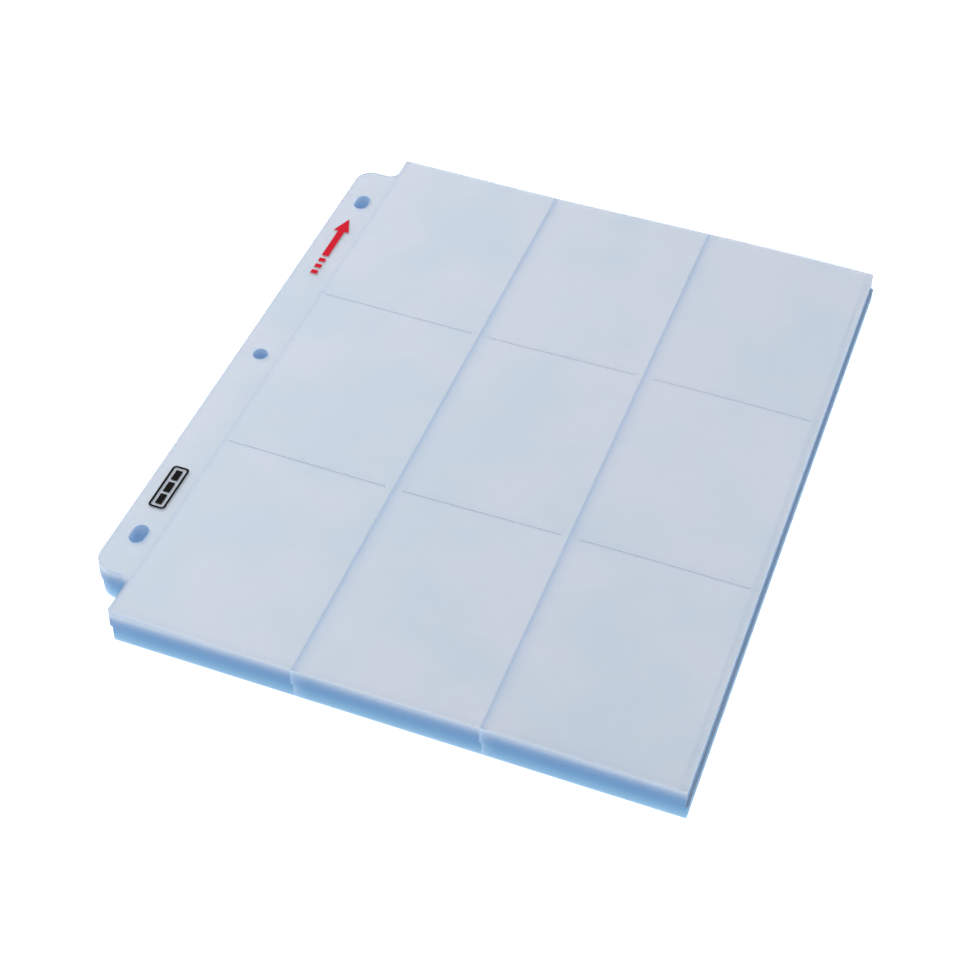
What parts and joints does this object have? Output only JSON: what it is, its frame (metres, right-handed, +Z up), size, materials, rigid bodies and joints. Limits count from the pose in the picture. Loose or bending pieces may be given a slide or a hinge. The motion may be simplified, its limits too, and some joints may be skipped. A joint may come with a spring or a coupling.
{
  "type": "stack of nine-pocket card pages",
  "caption": "Loose stack of clear flexible card pages with a punched binding strip, each page made of welded films with a square grid of pockets.",
  "frame": {"origin": "axis of the middle ring hole, on the underside of the stack", "axes": "+X from the binding strip across the pockets, +Y along the binding strip to the pockets' open back edge, +Z up through the stack"},
  "size_m": [0.2364, 0.2912, 0.0125],
  "materials": {
    "clear_film": "clear polypropylene film with a soft sheen, blue where seen edge on",
    "red_ink": "flat printed ink",
    "black_ink": "flat printed ink"
  },
  "bodies": {
    "page_01": {"page_01_back_film": "clear_film", "page_01_front_film": "clear_film"},
    "page_02": {"page_02_back_film": "clear_film", "page_02_front_film": "clear_film"},
    "page_03": {"page_03_back_film": "clear_film", "page_03_front_film": "clear_film"},
    "page_04": {"page_04_back_film": "clear_film", "page_04_front_film": "clear_film"},
    "page_05": {"page_05_back_film": "clear_film", "page_05_front_film": "clear_film"},
    "page_06": {"page_06_back_film": "clear_film", "page_06_front_film": "clear_film"},
    "page_07": {"page_07_back_film": "clear_film", "page_07_front_film": "clear_film"},
    "page_08": {"page_08_back_film": "clear_film", "page_08_front_film": "clear_film"},
    "page_09": {"page_09_back_film": "clear_film", "page_09_front_film": "clear_film"},
    "page_10": {"page_10_back_film": "clear_film", "page_10_front_film": "clear_film"},
    "page_11": {"page_11_back_film": "clear_film", "page_11_front_film": "clear_film"},
    "page_12": {"page_12_back_film": "clear_film", "page_12_front_film": "clear_film"},
    "page_13": {"page_13_back_film": "clear_film", "page_13_front_film": "clear_film"},
    "page_14": {"page_14_back_film": "clear_film", "page_14_front_film": "clear_film"},
    "page_15": {"page_15_back_film": "clear_film", "page_15_front_film": "clear_film"},
    "page_16": {"page_16_back_film": "clear_film", "page_16_front_film": "clear_film"},
    "page_17": {"page_17_back_film": "clear_film", "page_17_front_film": "clear_film"},
    "page_18": {"page_18_back_film": "clear_film", "page_18_front_film": "clear_film"},
    "page_19": {"page_19_back_film": "clear_film", "page_19_front_film": "clear_film"},
    "page_20": {"page_20_back_film": "clear_film", "page_20_front_film": "clear_film"},
    "page_21": {"page_21_back_film": "clear_film", "page_21_front_film": "clear_film"},
    "page_22": {"page_22_back_film": "clear_film", "page_22_front_film": "clear_film"},
    "page_23": {"page_23_back_film": "clear_film", "page_23_front_film": "clear_film"},
    "page_24": {"page_24_back_film": "clear_film", "page_24_front_film": "clear_film"},
    "page_25": {"page_25_back_film": "clear_film", "page_25_front_film": "clear_film", "top_page_red_arrow": "red_ink", "top_page_black_frame": "black_ink"}
  },
  "joints": [
    {"name": "page_02_lift", "type": "slide", "parent": "page_01", "child": "page_02", "axis": [0, 0, 1], "range_m": [0, 0.02]},
    {"name": "page_03_lift", "type": "slide", "parent": "page_02", "child": "page_03", "axis": [0, 0, 1], "range_m": [0, 0.02]},
    {"name": "page_04_lift", "type": "slide", "parent": "page_03", "child": "page_04", "axis": [0, 0, 1], "range_m": [0, 0.02]},
    {"name": "page_05_lift", "type": "slide", "parent": "page_04", "child": "page_05", "axis": [0, 0, 1], "range_m": [0, 0.02]},
    {"name": "page_06_lift", "type": "slide", "parent": "page_05", "child": "page_06", "axis": [0, 0, 1], "range_m": [0, 0.02]},
    {"name": "page_07_lift", "type": "slide", "parent": "page_06", "child": "page_07", "axis": [0, 0, 1], "range_m": [0, 0.02]},
    {"name": "page_08_lift", "type": "slide", "parent": "page_07", "child": "page_08", "axis": [0, 0, 1], "range_m": [0, 0.02]},
    {"name": "page_09_lift", "type": "slide", "parent": "page_08", "child": "page_09", "axis": [0, 0, 1], "range_m": [0, 0.02]},
    {"name": "page_10_lift", "type": "slide", "parent": "page_09", "child": "page_10", "axis": [0, 0, 1], "range_m": [0, 0.02]},
    {"name": "page_11_lift", "type": "slide", "parent": "page_10", "child": "page_11", "axis": [0, 0, 1], "range_m": [0, 0.02]},
    {"name": "page_12_lift", "type": "slide", "parent": "page_11", "child": "page_12", "axis": [0, 0, 1], "range_m": [0, 0.02]},
    {"name": "page_13_lift", "type": "slide", "parent": "page_12", "child": "page_13", "axis": [0, 0, 1], "range_m": [0, 0.02]},
    {"name": "page_14_lift", "type": "slide", "parent": "page_13", "child": "page_14", "axis": [0, 0, 1], "range_m": [0, 0.02]},
    {"name": "page_15_lift", "type": "slide", "parent": "page_14", "child": "page_15", "axis": [0, 0, 1], "range_m": [0, 0.02]},
    {"name": "page_16_lift", "type": "slide", "parent": "page_15", "child": "page_16", "axis": [0, 0, 1], "range_m": [0, 0.02]},
    {"name": "page_17_lift", "type": "slide", "parent": "page_16", "child": "page_17", "axis": [0, 0, 1], "range_m": [0, 0.02]},
    {"name": "page_18_lift", "type": "slide", "parent": "page_17", "child": "page_18", "axis": [0, 0, 1], "range_m": [0, 0.02]},
    {"name": "page_19_lift", "type": "slide", "parent": "page_18", "child": "page_19", "axis": [0, 0, 1], "range_m": [0, 0.02]},
    {"name": "page_20_lift", "type": "slide", "parent": "page_19", "child": "page_20", "axis": [0, 0, 1], "range_m": [0, 0.02]},
    {"name": "page_21_lift", "type": "slide", "parent": "page_20", "child": "page_21", "axis": [0, 0, 1], "range_m": [0, 0.02]},
    {"name": "page_22_lift", "type": "slide", "parent": "page_21", "child": "page_22", "axis": [0, 0, 1], "range_m": [0, 0.02]},
    {"name": "page_23_lift", "type": "slide", "parent": "page_22", "child": "page_23", "axis": [0, 0, 1], "range_m": [0, 0.02]},
    {"name": "page_24_lift", "type": "slide", "parent": "page_23", "child": "page_24", "axis": [0, 0, 1], "range_m": [0, 0.02]},
    {"name": "page_25_lift", "type": "slide", "parent": "page_24", "child": "page_25", "axis": [0, 0, 1], "range_m": [0, 0.02]}
  ]
}
